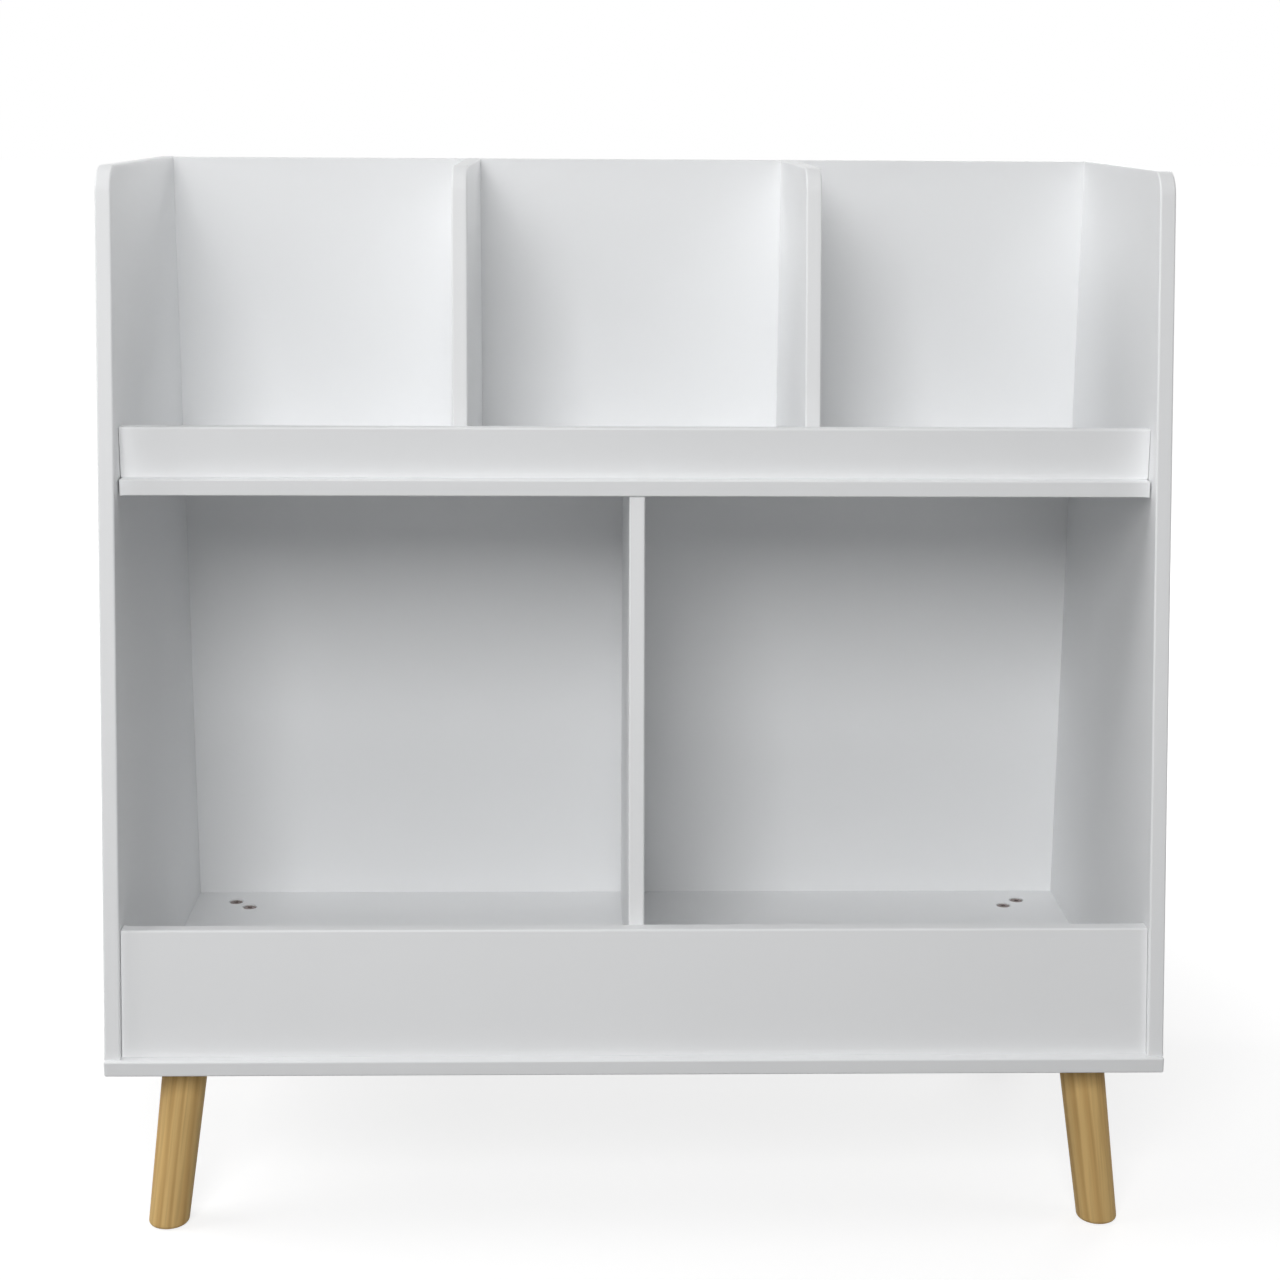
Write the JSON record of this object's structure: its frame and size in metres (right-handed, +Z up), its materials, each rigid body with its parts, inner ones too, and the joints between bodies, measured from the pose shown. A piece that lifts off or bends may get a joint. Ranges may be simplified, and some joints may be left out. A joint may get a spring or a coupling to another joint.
{
  "type": "children's bookcase with open bins",
  "caption": "Low white children's bookcase: divided upper bays and open lower bins behind front lips, on splayed wooden legs.",
  "frame": {"origin": "on the floor, below the middle of the case's bounding box", "axes": "+X to the right of someone facing the open front, the front faces -Y, +Z up"},
  "size_m": [0.8, 0.4, 0.8],
  "materials": {
    "white_paint": "satin white paint on fibreboard",
    "leg_wood": "clear satin lacquer on turned pine",
    "bronzed_bolt": "bronzed steel",
    "brass_insert": "plain brass",
    "zinc_fitting": "bright zinc plate",
    "beech_dowel": "bare beech"
  },
  "bodies": {
    "root": {"left_side_panel": "white_paint", "right_side_panel": "white_paint", "back_panel": "white_paint", "bottom_board": "white_paint", "middle_shelf": "white_paint", "upper_front_lip": "white_paint", "lower_front_lip": "white_paint", "upper_left_divider": "white_paint", "upper_right_divider": "white_paint", "centre_divider": "white_paint", "front_left_leg": "leg_wood", "front_right_leg": "leg_wood", "rear_left_leg": "leg_wood", "rear_right_leg": "leg_wood", "front_left_leg_outer_bolt": "bronzed_bolt", "front_left_leg_inner_bolt": "bronzed_bolt", "front_right_leg_outer_bolt": "bronzed_bolt", "front_right_leg_inner_bolt": "bronzed_bolt", "rear_left_leg_outer_bolt": "bronzed_bolt", "rear_left_leg_inner_bolt": "bronzed_bolt", "rear_right_leg_outer_bolt": "bronzed_bolt", "rear_right_leg_inner_bolt": "bronzed_bolt", "front_left_leg_outer_insert": "brass_insert", "front_left_leg_inner_insert": "brass_insert", "front_right_leg_outer_insert": "brass_insert", "front_right_leg_inner_insert": "brass_insert", "rear_left_leg_outer_insert": "brass_insert", "rear_left_leg_inner_insert": "brass_insert", "rear_right_leg_outer_insert": "brass_insert", "rear_right_leg_inner_insert": "brass_insert", "left_side_panel_front_screw": "zinc_fitting", "left_side_panel_rear_screw": "zinc_fitting", "right_side_panel_front_screw": "zinc_fitting", "right_side_panel_rear_screw": "zinc_fitting", "centre_divider_front_screw": "zinc_fitting", "centre_divider_rear_screw": "zinc_fitting", "upper_left_divider_front_screw": "zinc_fitting", "upper_left_divider_rear_screw": "zinc_fitting", "upper_right_divider_front_screw": "zinc_fitting", "upper_right_divider_rear_screw": "zinc_fitting", "shelf_left_front_cam": "zinc_fitting", "shelf_left_rear_cam": "zinc_fitting", "shelf_right_front_cam": "zinc_fitting", "shelf_right_rear_cam": "zinc_fitting", "shelf_left_front_cam_bolt": "zinc_fitting", "shelf_left_rear_cam_bolt": "zinc_fitting", "shelf_right_front_cam_bolt": "zinc_fitting", "shelf_right_rear_cam_bolt": "zinc_fitting", "shelf_left_dowel": "beech_dowel", "shelf_right_dowel": "beech_dowel", "upper_lip_left_dowel": "beech_dowel", "upper_lip_right_dowel": "beech_dowel", "lower_lip_left_lower_dowel": "beech_dowel", "lower_lip_left_upper_dowel": "beech_dowel", "lower_lip_right_lower_dowel": "beech_dowel", "lower_lip_right_upper_dowel": "beech_dowel", "centre_divider_front_dowel": "beech_dowel", "centre_divider_rear_dowel": "beech_dowel"}
  },
  "joints": []
}
